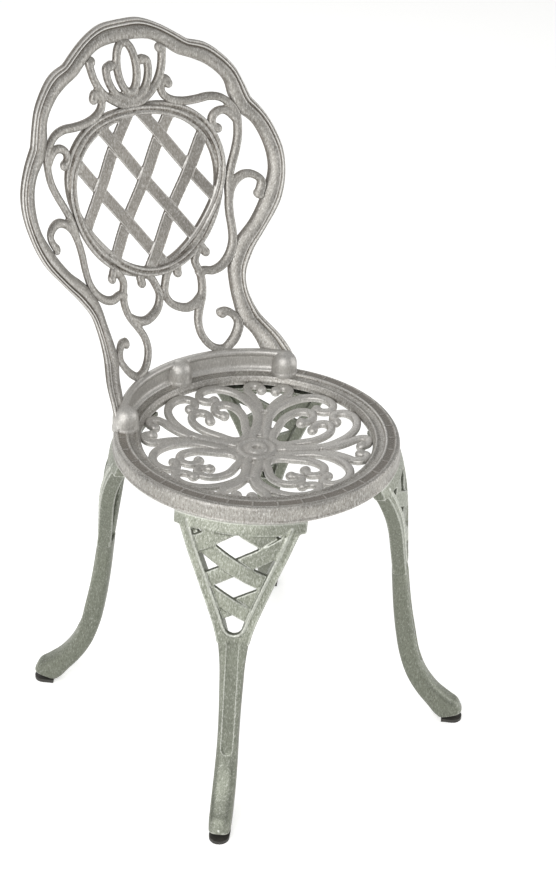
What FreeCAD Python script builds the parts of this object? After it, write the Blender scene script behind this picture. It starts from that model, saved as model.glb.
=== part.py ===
import FreeCAD
import Part
import math
import os

# Cast metal garden chair. Units are mm. Z is up and the floor is z = 0.
# The back stands at +Y and a sitter faces -Y. The pieces are drawn about the seat's axis, and are
# saved moved along Y, so that the origin is the middle of the chair's footprint on the floor.

# Seat
SEAT_TOP = 446.0
SEAT_R = 190.0
SEAT_WALL = 23.0
WALL_T = 5.5
RING_W = 36.0
RING_IN_R = SEAT_R - RING_W
RING_T = 10.0
DISH = 26.5
RING_DROP = 9.0
DISH_SIDES = 12
WEB_T = 8.5
HUB_R = 27.0
HUB_T = 10.0
DRAIN_R = 5.5
ARM_W = 11.5
TRUNK_W = 9.0
CURL_R = 7.5

# Back
BACK_T = 16.0
SCROLL_W = 9.5
SCROLL_T = 9.5
SCROLL_IN = 3.7
MED_Z = 254.5
MED_RX = 120.0
MED_RZ = 102.0
STRAND_W = 8.0
STRAND_SWING = 4.2
STRAND_T = 10.8
STRAND_IN = 1.6
LATTICE_W = 15.0
LATTICE_T = 5.7
LATTICE_IN = 6.0
LATTICE_PITCH = 73.0
LATTICE_Z = 271.0
LATTICE_ANGLE = 52.3
BAND_IN = 16.0
BAND_R = SEAT_R - BAND_IN
BAND_T = 9.0
BAND_H = 29.0
BOSS_R = 15.0
BOSS_IN = 13.5
BOSS_AT_R = SEAT_R - BOSS_IN
BOSS_H = 25.0
BOSS_SPREAD = 51.0

# Legs
LEG_ANGLES = {"front_left": -135.0, "front_right": -45.0, "rear_left": 135.0, "rear_right": 45.0}
LEG_TOP = SEAT_TOP - SEAT_WALL
LEG_STRIPS = (-32.0, -18.0, -6.0, 6.0, 18.0, 32.0)
PLATE_T = 6.0
PLATE_W = 32.0
PLATE_HALF = 25.0
PANEL_T = 7.0
PANEL_IN = 2.5
LEG_BAR_W = 21.0
LEG_BAR_PITCH = 56.5
LEG_BAR_ANGLE = 29.3
LEG_BAR_Z = 362.5
TOE_R = 15.5
GROOVE_W = 14.0
GROOVE_DEPTH = 1.8
GLIDE_T = 5.0
GLIDE_W = 27.0
GLIDE_LEN = 30.0
STUB_W = 9.0
STUB_H = 6.0
TOE_REACH = 122.0
TOE_END = SEAT_R + TOE_REACH

# Screws
SCREW_R = 4.0
CLEAR_R = 4.5
TAPPED_R = 4.05
HEAD_AF = 13.0
HEAD_H = 5.3
LEG_SCREW_IN = 19.0
LEG_SCREW_R = SEAT_R - LEG_SCREW_IN
BOSS_PAD_R = 9.5
LEG_SCREW_SPREAD = 16.0
SCREW_LEN = 22.0

V = FreeCAD.Vector
UP = V(0, 0, 1)
ORIGIN = V(0, 0, 0)
TURN = math.radians(30)
SPAN = 22.0


def smooth(points, turn=TURN, span=SPAN):
    """Points and directions along a smooth curve through the given ones, closer together where it bends."""
    curve = Part.BSplineCurve()
    curve.interpolate([V(x, y, 0) for x, y in points])
    first, last = curve.FirstParameter, curve.LastParameter
    steps = 40 * len(points)
    places, dirs = [curve.value(first)], [curve.tangent(first)[0]]
    walked, turned_by = 0.0, 0.0
    before, heading = places[0], dirs[0]
    for i in range(1, steps + 1):
        u = first + (last - first) * i / steps
        here, now = curve.value(u), curve.tangent(u)[0]
        walked += here.distanceToPoint(before)
        turned_by += heading.getAngle(now)
        before, heading = here, now
        if turned_by >= turn or walked >= span or i == steps:
            places.append(here)
            dirs.append(now)
            walked, turned_by = 0.0, 0.0
    return places, dirs


def line_of(points, turn=TURN, span=SPAN):
    return [(p.x, p.y) for p in smooth(points, turn, span)[0]]


def polygon(points):
    """Flat face of a closed outline. It faces up whichever way the outline runs, so that faces can merge."""
    turns = sum(a[0] * b[1] - b[0] * a[1] for a, b in zip(points, points[1:] + points[:1]))
    pts = [V(x, y, 0) for x, y in (points if turns > 0 else points[::-1])]
    return Part.Face(Part.makePolygon(pts + pts[:1]))


def edge_of(places, dirs, offset):
    """The line beside a curve, without the folds that a tight bend gives on its inner side."""
    line = []
    for p, t in zip(places, dirs):
        q = p + V(-t.y, t.x, 0) * offset
        if not line or (q - line[-1]).dot(t) > 0.6:
            line.append(q)
    return line


def stroke(points, width, knob=0.0):
    """Flat faces of a curved bar of even width. knob is the radius of the round knob on its last point."""
    places, dirs = smooth(points)
    tip = places[-1] + dirs[-1] * width * 0.4
    tail = places[0] - dirs[0] * width * 0.4
    loop = edge_of(places, dirs, -width / 2) + [tip] + edge_of(places, dirs, width / 2)[::-1] + [tail]
    faces = [polygon([(p.x, p.y) for p in loop])]
    if knob:
        faces.append(disc(places[-1].x, places[-1].y, knob))
    return faces


def both(points, width, knob=0.0):
    """A stroke and its mirror image on the other side of x = 0."""
    return stroke(points, width, knob) + stroke([(-x, y) for x, y in points], width, knob)


def disc(x, y, radius, sides=12):
    return polygon([(x + radius * math.cos(2 * math.pi * i / sides), y + radius * math.sin(2 * math.pi * i / sides))
                    for i in range(sides)])


def ellipse(rx, ry, y, sides=32):
    return [(rx * math.cos(2 * math.pi * i / sides), y + ry * math.sin(2 * math.pi * i / sides)) for i in range(sides)]


def prism(faces, length):
    """Joins flat faces in their plane and makes a solid of them along Z."""
    flat = faces[0]
    if len(faces) > 1:
        flat = Part.Shell(faces[0].multiFuse(faces[1:]).Faces).removeSplitter()
    return flat.extrude(UP * length)


def bar(x, y, angle, width, reach):
    """A straight flat bar centred on x, y in the XY plane."""
    face = Part.makePlane(2 * reach, width, V(-reach, -width / 2, 0))
    face.rotate(ORIGIN, UP, angle)
    face.translate(V(x, y, 0))
    return face


def turned(shape, angle):
    out = shape.copy()
    out.rotate(ORIGIN, UP, angle)
    return out


def join(shapes):
    return shapes[0].multiFuse(shapes[1:])


def at_angle(radius, angle, z=0.0):
    a = math.radians(angle)
    return V(radius * math.cos(a), radius * math.sin(a), z)


def revolve(points, angle=360.0, start=0.0):
    """Closed profile of (r, z) points turned about Z."""
    pts = [V(r, 0, z) for r, z in points]
    body = Part.Face(Part.makePolygon(pts + pts[:1])).revolve(ORIGIN, UP, angle)
    return turned(body, start)


# Seat: a ring with a skirt, a dished web of scrolls and a hub, cast in one piece
DISH_SLOPE = (DISH - RING_DROP) / (RING_IN_R - HUB_R)


def dish_z(r):
    """Height of the web's top at radius r."""
    return SEAT_TOP - DISH + DISH_SLOPE * max(0.0, r - HUB_R)


def funnel(drop):
    """The room above the web, with flat sides, so that the web's faces stay few."""
    step = 360.0 / DISH_SIDES
    r0, r1 = HUB_R - 4, RING_IN_R + 6
    z0, z1, z2 = dish_z(r0) - drop, dish_z(r1) - drop, SEAT_TOP + 20
    rings = [[at_angle(r, step * i, z) for i in range(DISH_SIDES)] for r, z in ((r0, z0), (r1, z1), (r1, z2))]
    faces = [Part.Face(Part.makePolygon(loop + loop[:1])) for loop in (rings[0], rings[2])]
    for low, high in zip(rings, rings[1:]):
        for i in range(DISH_SIDES):
            j = (i + 1) % DISH_SIDES
            faces.append(Part.Face(Part.makePolygon([low[i], low[j], high[j], high[i], low[i]])))
    return Part.Solid(Part.Shell(faces))


def ring():
    top = SEAT_TOP
    low = top - SEAT_WALL
    inner = dish_z(RING_IN_R)
    under = top - RING_T
    profile = [
        (SEAT_R + 1.5, low), (SEAT_R, top - 4), (SEAT_R - 4, top), (172, top), (157, top - 4.5),
        (RING_IN_R, inner), (RING_IN_R, under - 5), (RING_IN_R + 5, under), (SEAT_R - WALL_T, under),
        (SEAT_R - WALL_T, low),
    ]
    return revolve(profile)


def sized(points):
    """Points of the web's curves, which are drawn inside a ring of 154 mm radius, at the ring's real size."""
    k = RING_IN_R / 154
    return [(x * k, y * k) for x, y in points]


def petal():
    """One petal, whose axis is +Y, and the trunk and fan on the diagonal to its right."""
    outer = both(sized([(17, 29), (36, 47), (50, 62), (57.5, 78), (60, 95), (58.5, 113), (51.5, 130), (39, 142),
                  (23, 146.5), (10, 142), (5.5, 131.5), (12, 123), (21, 121)]), ARM_W, CURL_R)
    heart = both(sized([(4, 38), (15, 46), (25, 57), (32.5, 70), (36, 85), (34, 99), (26, 108), (15, 109.5),
                  (7.5, 103), (8, 93), (12, 87)]), ARM_W, CURL_R + 0.8)
    fan = both(sized([(5, 88), (12, 108), (20, 121), (28, 132), (30, 141), (23, 148), (13, 146), (10, 139)]),
               ARM_W, CURL_R)
    trunk = [bar(0, 60, 90, TRUNK_W, RING_IN_R - 114)]
    return outer + heart + [turned(f, -45) for f in fan + trunk]


def seat():
    quarter = prism(petal(), 60.0)
    quarter.translate(V(0, 0, SEAT_TOP - 50))
    quarter = quarter.common(funnel(WEB_T)).cut(funnel(0))
    hub_top = dish_z(0) + 1.2
    hub = revolve([(DRAIN_R, hub_top + 2), (13, hub_top + 2), (15, hub_top - 1), (20, hub_top - 1),
                   (HUB_R - 3, hub_top + 0.6), (HUB_R, hub_top - 1), (HUB_R, hub_top - HUB_T),
                   (DRAIN_R, hub_top - HUB_T)])
    drain = Part.makeCylinder(DRAIN_R, 40, V(0, 0, hub_top - 30), UP)
    web = [turned(quarter, a) for a in (0, 90, 180, 270)]
    bosses = []
    for angle in leg_screw_angles():
        p = at_angle(LEG_SCREW_R, angle)
        boss = disc(p.x, p.y, BOSS_PAD_R, 8).extrude(UP * (SEAT_WALL - RING_T + 2))
        boss.translate(UP * LEG_TOP)
        bosses.append(boss)
    body = join([ring(), hub] + web + bosses)
    holes = [drain]
    for angle in leg_screw_angles():
        holes.append(Part.makeCylinder(TAPPED_R, 16.0, at_angle(LEG_SCREW_R, angle, LEG_TOP), UP))
    for angle in back_boss_angles():
        holes.append(Part.makeCylinder(CLEAR_R, 30.0, at_angle(BOSS_AT_R, angle, SEAT_TOP - 20), UP))
    return body.cut(Part.Compound(holes))


def leg_screw_angles():
    return [a + s for a in LEG_ANGLES.values() for s in (-LEG_SCREW_SPREAD, LEG_SCREW_SPREAD)]


def back_boss_angles():
    return [90 - BOSS_SPREAD, 90.0, 90 + BOSS_SPREAD]


# Back: outlines are drawn as seen from the front, with heights above the seat, and cut to a curved shell
LEAN = [(-6, 0), (29, 3), (64, 17), (104, 38), (154, 53), (254, 81), (354, 109), (484, 145)]
BEND = [(-6, 0.0033), (29, 0.0029), (64, 0.0023), (104, 0.00183), (154, 0.00158), (254, 0.00107),
        (354, 0.00056), (484, 0.0)]


def between(table, z):
    for (z0, a), (z1, b) in zip(table, table[1:]):
        if z <= z1:
            return a + (b - a) * (z - z0) / (z1 - z0)
    return table[-1][1]


def back_y(x, z):
    return BAND_R + between(LEAN, z) - between(BEND, z) * x * x


def back_shell(inset, thickness):
    """The curved, leaning layer that an outline is cut to, in flat facets."""
    zs = [-6, 29, 64, 109, 204, 334, 484]
    xs = [-216, -170, -115, -58, 0, 58, 115, 170, 216]
    faces = []
    for x0, x1 in zip(xs, xs[1:]):
        for z0, z1 in zip(zs, zs[1:]):
            a, b, c, d = (V(x, back_y(x, z) + inset, z) for x, z in ((x0, z0), (x1, z0), (x1, z1), (x0, z1)))
            halves = ((a, b, c), (a, c, d)) if x0 >= 0 else ((a, b, d), (b, c, d))
            faces += [Part.Face(Part.makePolygon([p, q, r, p])) for p, q, r in halves]
    blocks = Part.Shell(faces).extrude(V(0, thickness, 0)).Solids
    return join(blocks).removeSplitter()


def stand_up(shape):
    """Turns an outline prism from the XY plane into the XZ plane, deep enough along Y for every shell."""
    out = shape.copy()
    out.rotate(ORIGIN, V(1, 0, 0), 90)
    out.translate(V(0, DEEP, 0))
    return out


DEEP = 2 * SEAT_R + 20
OUTER = [[(0, 473.5), (30, 470), (60, 457), (80, 445), (98, 434)],
         [(98, 434), (120, 425), (143, 410), (160, 391), (171, 370), (179, 352)],
         [(179, 352), (195, 337), (207, 314), (213.5, 279), (210, 244), (197.5, 217), (165, 175), (145, 147),
          (130.5, 118), (127.5, 99), (130, 77), (143, 41), (151, 20), (152, 3)]]
INNER = [(124, 3), (121, 28), (113, 44), (106, 62), (102.5, 84), (102.5, 107), (108, 131), (122, 158),
         (147, 191), (177, 227), (187.5, 254), (188, 289), (179, 313), (160, 332), (149, 352), (143, 373),
         (126, 398), (105, 411), (85, 420), (67, 431), (45, 441), (22, 446.5), (0, 448)]


def mirror_line(points):
    """The points followed by their mirror images, back down the other side."""
    return points + [(-x, y) for x, y in reversed(points)]


def frame_face():
    outer = []
    for piece in OUTER:
        outer += line_of(piece, TURN / 2, 20)
    outer = outer[::-1]
    inner = line_of(INNER, TURN / 2, 20)
    return polygon(mirror_line(outer)).cut(polygon(mirror_line(inner)))


def scrolls():
    w = SCROLL_W
    flower = both([(0, 365), (15, 367), (30, 375), (45, 388), (56, 404), (61, 419), (58, 429), (53, 431)], w, 6.5)
    flower += both([(0, 372), (11, 374), (22, 381), (31, 392), (35.5, 406), (33, 417), (27, 420)], w, 6.0)
    flower += polygon(ellipse(22, 37, 412, 20)).cut(polygon(ellipse(12.5, 28, 412, 20))).Faces
    top = both([(126, 251), (135, 265), (145, 281), (153, 299), (157, 319), (155, 333), (148, 345), (137, 353),
                (120, 357), (100, 358), (78, 357.5), (58, 362), (49, 370), (47, 381), (52, 389), (61, 390),
                (67, 385)], w, 6.5)
    hook = both([(155, 328), (149, 336), (141, 339.5), (131, 338.5), (121.5, 332), (118, 322.5), (125, 317)], w, 6.5)
    side = both([(63, 130), (74, 132.5), (86, 131), (99, 135.5), (111, 147), (119.5, 165), (123, 184), (124, 204),
                 (126, 223), (131.5, 240), (141, 252.5), (155, 258), (170, 254), (179, 244), (176, 232),
                 (168, 225)], w, 6.5)
    low = both([(80, 160), (70, 165), (61, 158), (58.5, 144), (64, 129), (66, 114), (60.5, 100), (52, 86),
                (46, 71), (44, 56), (47.5, 42), (58, 32), (73, 29), (87, 35.5), (96.5, 48), (99.5, 61.5),
                (95, 73), (87, 76), (79, 72.5)], w, 6.5)
    knobs = [disc(80, 160, 6.5), disc(-80, 160, 6.5)]
    heart = both([(57, 97), (50, 89.5), (37.5, 86), (23.5, 89), (11, 98), (4.6, 112.5), (4.6, 126), (11, 139),
                  (23, 145), (33, 142), (33, 136)], w, 6.0)
    return prism(flower + top + hook + side + low + knobs + heart, DEEP)


def medallion():
    """Two strands that wind about each other, crossing four times."""
    sides = 32
    strands = []
    for sign in (1, -1):
        loops = []
        for side in (1, -1):
            pts = []
            for i in range(sides):
                a = 2 * math.pi * i / sides
                d = sign * STRAND_SWING * math.sin(2 * a) + side * STRAND_W / 2
                pts.append(((MED_RX + d) * math.cos(a), MED_Z + (MED_RZ + d) * math.sin(a)))
            loops.append(polygon(pts))
        strands += loops[0].cut(loops[1]).Faces
    return prism(strands, DEEP)


def lattice(z0, pitch_x, angle, width, reach):
    return [bar(k * pitch_x, z0, sign * angle, width, reach) for k in (-1, 0, 1) for sign in (1, -1)]


def band():
    """The curved foot rail of the back, with three domed bosses that stand on the seat's ring."""
    top = BAND_H
    z = 0.0
    profile = [(BAND_R - 0.8, z), (BAND_R - 0.8, z + 3), (BAND_R + 0.8, z + 4), (BAND_R + 0.8, top - 7),
               (BAND_R - 1.5, top - 5.5), (BAND_R - 1.5, top - 1.2), (BAND_R, top), (BAND_R + BAND_T, top),
               (BAND_R + BAND_T, z)]
    rail = revolve(profile, 2 * BOSS_SPREAD, 90 - BOSS_SPREAD)
    domes = []
    for angle in back_boss_angles():
        p = at_angle(BOSS_AT_R, angle, z)
        straight = BOSS_H - BOSS_R * 0.75
        domes.append(Part.makeCylinder(BOSS_R, straight, p, UP))
        ball = Part.makeSphere(BOSS_R, ORIGIN, UP, 0, 90, 360)
        squash = FreeCAD.Matrix()
        squash.scale(1, 1, 0.75)
        ball = ball.transformGeometry(squash)
        ball.translate(p + UP * straight)
        domes.append(ball)
    return [rail] + domes


def back():
    frame = stand_up(prism([frame_face()], DEEP)).common(back_shell(0, BACK_T))
    lines = stand_up(scrolls()).common(back_shell(SCROLL_IN, SCROLL_T))
    strands = stand_up(medallion()).common(back_shell(STRAND_IN, STRAND_T))
    bars = prism(lattice(LATTICE_Z, LATTICE_PITCH, LATTICE_ANGLE, LATTICE_W, 170), DEEP)
    bars = bars.common(prism([polygon(ellipse(MED_RX, MED_RZ, MED_Z, 32))], DEEP))
    bars = stand_up(bars).common(back_shell(LATTICE_IN, LATTICE_T))
    body = frame
    for piece in [lines, strands, bars] + band():
        body = body.fuse(piece)
    # everything ends on the seat's ring
    floor = Part.makeBox(2 * DEEP, DEEP, 100, V(-DEEP, 0, -100))
    holes = [Part.makeCylinder(TAPPED_R, 16.0, at_angle(BOSS_AT_R, a, -1), UP) for a in back_boss_angles()]
    body = body.cut(Part.Compound([floor] + holes))
    body.translate(UP * SEAT_TOP)
    return body


# Legs: one shape in its own frame, X outward, Y sideways, then turned to its place
def up_leg(z):
    """Real height of a point that is drawn on a leg 423 mm high."""
    return GLIDE_T + (z - GLIDE_T) * (LEG_TOP - GLIDE_T) / (423 - GLIDE_T)


FRONT = [(0, 424), (6, 418), (9, 404), (16, 372), (19.5, 340), (21.5, 300), (24.5, 262), (29.5, 224),
         (36, 184), (44.5, 144), (54, 104), (67, 76), (TOE_REACH - 36, 52), (TOE_REACH - 15, 36),
         (TOE_REACH - 6, 29), (TOE_REACH - 1, 20), (TOE_REACH, GLIDE_T)]
REAR = [(TOE_REACH - 33, GLIDE_T), (TOE_REACH - 44, 14), (TOE_REACH - 62, 36), (42, 62), (32, 84), (24.5, 108), (16, 145), (10, 184),
        (5.5, 224), (2, 262), (-1, 300), (-4, 340), (-6, 372), (-7, 400), (-7, 424)]
SIDE = [(90, 424), (87, 417), (78.5, 411), (73, 398), (65, 378), (53.5, 350), (43, 322), (34.5, 298), (27, 277),
        (21, 257), (17.8, 235), (16, 200), (14.3, 150), (14.3, 100), (15, 60), (15.3, 30), (15.3, 0)]
FRONT = [(SEAT_R + r, up_leg(z)) for r, z in FRONT]
REAR = [(SEAT_R + r, up_leg(z)) for r, z in REAR]
SIDE = [(y, up_leg(z)) for y, z in SIDE]


def slab(front, rear):
    """A side profile carried round the seat's axis in flat strips, wide enough for one leg."""
    profile = line_of(front, TURN / 2, 60) + line_of(rear, TURN / 2, 60)
    rings = [[at_angle(r, a, z) for r, z in profile] for a in LEG_STRIPS]
    faces = [Part.Face(Part.makePolygon(loop + loop[:1])) for loop in (rings[0], rings[-1])]
    for here, there in zip(rings, rings[1:]):
        for i in range(len(profile)):
            j = (i + 1) % len(profile)
            faces.append(Part.Face(Part.makePolygon([here[i], here[j], there[j], there[i], here[i]])))
    return Part.Solid(Part.Shell(faces))


def outward(shape):
    """Turns an outline prism from the XY plane to one that runs outward along X, with Y up the leg."""
    m = FreeCAD.Matrix(0, 0, 1, 0, 1, 0, 0, 0, 0, 1, 0, 0)
    out = shape.copy()
    out.transformShape(m)
    return out


def window(grow=0.0):
    """The tall three-sided opening of a leg, rounded at its foot."""
    side = [(62.5, 411.5), (49.5, 380), (37.5, 350), (27, 320), (19.5, 298), (12.8, 280), (8.5, 271), (0, 267.5)]
    side = [(x + grow if x else 0, up_leg(z) - (0 if x > 9 else grow)) for x, z in side]
    side[0] = (side[0][0], side[0][1] + grow)
    return polygon(side + [(-x, z) for x, z in reversed(side[:-1])])


def leg():
    outline = polygon(mirror_line(SIDE[:2] + line_of(SIDE[2:], TURN / 2, 60)))
    body = slab(FRONT, REAR).common(outward(prism([outline.cut(window())], DEEP)))
    # the toe is round, seen from above
    toe = Part.makeCylinder(TOE_R, 60, V(TOE_END - TOE_R, 0, -5), UP)
    blank = Part.makeBox(TOE_R + 5, 60, 60, V(TOE_END - TOE_R, -30, -5))
    body = body.cut(blank.cut(toe))
    face = FRONT[:8]
    mesh = slab([(r - PANEL_IN, z) for r, z in face], [(r - PANEL_IN - PANEL_T, z) for r, z in reversed(face)])
    bars = [bar(0, up_leg(LEG_BAR_Z + k * LEG_BAR_PITCH), sign * LEG_BAR_ANGLE, LEG_BAR_W, 90)
            for k in (-1, 0, 1) for sign in (1, -1)]
    bars = prism(bars, DEEP).common(prism([window(3.0)], DEEP))
    mesh = mesh.common(outward(bars))
    lo, hi = SEAT_R - PLATE_W, SEAT_R
    plate = revolve([(lo, LEG_TOP - PLATE_T), (hi, LEG_TOP - PLATE_T), (hi, LEG_TOP), (lo, LEG_TOP)],
                    2 * PLATE_HALF, -PLATE_HALF)
    body = join([body, mesh, plate])
    cap = Part.makeBox(120, 240, 20, V(120, -120, LEG_TOP))
    stem = FRONT[6:11]
    groove = slab([(r + 5, z) for r, z in stem], [(r - GROOVE_DEPTH, z) for r, z in reversed(stem)])
    w = GROOVE_W / 2
    slot = [(-w, 256), (w, 256), (w, 104), (w * 0.7, 98), (0, 95), (-w * 0.7, 98), (-w, 104)]
    slot = polygon([(y, up_leg(z)) for y, z in slot])
    groove = groove.common(outward(prism([slot], DEEP)))
    holes = [Part.makeCylinder(CLEAR_R, 30, at_angle(LEG_SCREW_R, s, LEG_TOP - 20), UP)
             for s in (-LEG_SCREW_SPREAD, LEG_SCREW_SPREAD)]
    stub_x = TOE_END - GLIDE_W / 2 - 1 - STUB_W
    holes.append(Part.makeBox(STUB_W, STUB_W, STUB_H, V(stub_x, -STUB_W / 2, GLIDE_T)))
    return body.cut(Part.Compound([cap, groove] + holes))


# Small parts
def glide():
    """Plastic tip under the toe: a pad with a round front, pressed on by a square stub."""
    w = GLIDE_W / 2
    x0 = TOE_END - GLIDE_LEN
    x1 = TOE_END - w - 1
    front = [(x1 + w * math.sin(math.radians(a)), -w * math.cos(math.radians(a))) for a in range(0, 181, 20)]
    pad = polygon([(x0, w)] + [(x0, -w)] + front).extrude(UP * GLIDE_T)
    stub = Part.makeBox(STUB_W, STUB_W, STUB_H, V(x1 - STUB_W, -STUB_W / 2, GLIDE_T))
    return join([pad, stub])


def screw(z, radius, angle):
    """Hexagon screw seated against the face at height z, its shank running up."""
    corners = [at_angle(HEAD_AF / math.sqrt(3), 60 * i) for i in range(7)]
    head = Part.Face(Part.makePolygon(corners)).extrude(UP * HEAD_H)
    shank = Part.makeCylinder(SCREW_R, SCREW_LEN, V(0, 0, HEAD_H), UP)
    body = join([head, shank])
    body.translate(at_angle(radius, angle, z - HEAD_H))
    return body


# How far the front toes reach forward and the back's top reaches rearward of the seat's axis
FRONT_REACH = (TOE_END - TOE_R) * math.sin(math.radians(45)) + TOE_R
BACK_REACH = back_y(0, OUTER[0][0][1]) + BACK_T


def save(name, shape):
    """Writes one piece, moved so that the chair is centred over the origin."""
    shape.translate(V(0, (FRONT_REACH - BACK_REACH) / 2, 0))
    shape.exportStep(os.path.join("parts", name + ".step"))


os.makedirs("parts", exist_ok=True)
save("seat_casting", seat())
save("back_casting", back())
one_leg = leg()
one_glide = glide()
for side, angle in LEG_ANGLES.items():
    save("leg_" + side, turned(one_leg, angle))
    save("foot_glide_" + side, turned(one_glide, angle))
    for end, spread in (("a", -LEG_SCREW_SPREAD), ("b", LEG_SCREW_SPREAD)):
        save("leg_screw_" + side + "_" + end, screw(LEG_TOP - PLATE_T, LEG_SCREW_R, angle + spread))
for side, angle in zip(("right", "centre", "left"), back_boss_angles()):
    save("back_screw_" + side, screw(SEAT_TOP - RING_T, BOSS_AT_R, angle))
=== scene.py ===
import math

import bmesh
import bpy
import numpy as np
from mathutils import Matrix, Vector


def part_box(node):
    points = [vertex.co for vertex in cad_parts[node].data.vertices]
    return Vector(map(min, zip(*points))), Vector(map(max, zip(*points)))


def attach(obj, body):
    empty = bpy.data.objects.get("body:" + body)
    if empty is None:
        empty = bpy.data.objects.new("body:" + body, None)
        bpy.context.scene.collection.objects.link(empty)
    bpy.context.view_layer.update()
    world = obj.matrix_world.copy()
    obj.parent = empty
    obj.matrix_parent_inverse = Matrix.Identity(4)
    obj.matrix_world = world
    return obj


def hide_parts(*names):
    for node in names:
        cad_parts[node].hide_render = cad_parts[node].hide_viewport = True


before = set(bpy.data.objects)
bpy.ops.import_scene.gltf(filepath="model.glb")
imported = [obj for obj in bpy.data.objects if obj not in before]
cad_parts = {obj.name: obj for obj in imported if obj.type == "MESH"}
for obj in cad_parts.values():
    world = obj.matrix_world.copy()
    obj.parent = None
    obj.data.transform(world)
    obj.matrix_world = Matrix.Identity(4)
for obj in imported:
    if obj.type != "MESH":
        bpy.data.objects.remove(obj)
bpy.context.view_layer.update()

# Camera
# A long lens looks down on the chair from its front left, held a little out of level, as the photograph was
# taken. The angles, the distance and the place of the lens were fitted to the photograph's 556 x 883 pixels.
FOCAL_PX = 1837.3
LONG_SIDE_PX = 883
LENS_PLACE = (-1.3381, -1.6777, 1.6748)
AZIMUTH, ELEVATION, ROLL = -40.25, 30.58, 2.69
camera = bpy.data.objects.new("camera", bpy.data.cameras.new("camera"))
bpy.context.scene.collection.objects.link(camera)
camera.data.sensor_width = 36.0
camera.data.lens = FOCAL_PX * camera.data.sensor_width / LONG_SIDE_PX
az, el = math.radians(AZIMUTH), math.radians(ELEVATION)
backward = Vector((math.sin(az) * math.cos(el), -math.cos(az) * math.cos(el), math.sin(el)))
level = Vector((math.cos(az), math.sin(az), 0))
upward = backward.cross(level)
roll = math.radians(ROLL)
right = level * math.cos(roll) + upward * math.sin(roll)
top = upward * math.cos(roll) - level * math.sin(roll)
camera.matrix_world = Matrix.Translation(LENS_PLACE) @ Matrix((right, top, backward)).transposed().to_4x4()
bpy.context.scene.camera = camera


# Seat ring
# A heavy cast rim with a rounded edge and a skirt. Round its top run shallow sunk panels with thin ribs
# between them, then a step, a bead and an inner lip. It is one casting with the web, and the legs screw
# up into it.
# one millimetre in metres
MM = 0.001
seat_lo, seat_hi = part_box("seat_casting")
AXIS_Y = (seat_lo.y + seat_hi.y) / 2
SEAT_TOP = seat_hi.z
PANELS = 36
PANEL_DEPTH = 0.8
PANEL_R = (173.4, 184.2)
PANEL_EDGE = 0.8
# how much darker the ring's top is in its panels and on its ribs, and how much paler the ribs' tops are
PANEL_DARKENING, RIB_DARKENING, RIB_PALENESS = 0.55, 0.4, 0.1
RIB_SHARE = 0.02
EASE_SHARE = 0.03
# where the sections of one panel stand, as shares of its length, close together at its ribs
SECTIONS = (0.0, 0.02, 0.035, 0.05, 0.1, 0.2, 0.3, 0.4, 0.5, 0.6, 0.7, 0.8, 0.9, 0.95, 0.965, 0.98)
RING_STEP = 1.3
# points of the ring higher than this, in mm above the seat's top, lie on its upper face
UPPER_FACE = -1.0
# radius and height above the seat's top
RING = [(191.4, -23), (191.8, -21.6), (191.3, -20.2), (190.6, -19.2), (190.4, -12), (190.2, -6),
        (189.5, -3.3), (188.0, -1.3), (186.0, -0.3), (184.8, 0), (184.2, 0), (183.7, 0), (173.9, 0),
        (173.4, 0), (172.4, 0.1), (171.2, -0.2), (170.4, -1.0), (169.8, -2.4), (168.4, -3.1), (163.5, -3.9),
        (161.2, -3.7), (160.2, -2.9), (158.9, -2.6), (157.7, -3.1), (157.0, -4.6), (155.4, -6.4),
        (154.2, -8.8), (154, -12), (154.3, -14.6), (156, -15.2), (158.6, -14.4), (159, -10), (184.5, -10),
        (184.5, -23)]


def linear(hex_colour):
    """An sRGB hex colour as linear red, green, blue and alpha."""
    parts = [int(hex_colour[i:i + 2], 16) / 255 for i in (1, 3, 5)]
    return [p / 12.92 if p <= 0.04045 else ((p + 0.055) / 1.055) ** 2.4 for p in parts] + [1.0]


def add(tree, kind, sockets=None, **settings):
    """Adds a node. sockets maps an input's name or number to a value, an output, or several outputs."""
    node = tree.nodes.new(kind)
    for key, value in settings.items():
        setattr(node, key, value)
    for key, value in (sockets or {}).items():
        several = value if isinstance(value, list) and isinstance(value[0], bpy.types.NodeSocket) else [value]
        for one in several:
            if isinstance(one, bpy.types.NodeSocket):
                tree.links.new(one, node.inputs[key])
            else:
                node.inputs[key].default_value = one
    return node


def blank_material(name):
    """A new material and its node tree, still empty."""
    material = bpy.data.materials.new(name)
    material.use_nodes = True
    material.node_tree.nodes.clear()
    return material, material.node_tree


# Painted sand-cast metal: silver-grey paint with dark brown pits and pale dust in its grain, painted shade in
# the hollows, narrow gaps and sides, and worn ridges with a painted highlight. It reads as soft pewter, dull
# and warm in the recesses, pale and a little shiny on every edge.
# sizes of the clouds, flecks and dents, and how far the painted shade reaches into narrow gaps
CLOUD_MM, FLECK_MM, DENT_MM, SHADE_REACH_MM = 40.0, 1.8, 8.0, 4.0
# how much longer than wide a fleck is, and how far the flecks break up the line of a ridge
STREAK, BROKEN = 2.4, 0.04
# the paint's tone in its darkest and lightest clouds, as shares of its colour
CLOUD_TONES = (0.80, 1.12)


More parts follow.
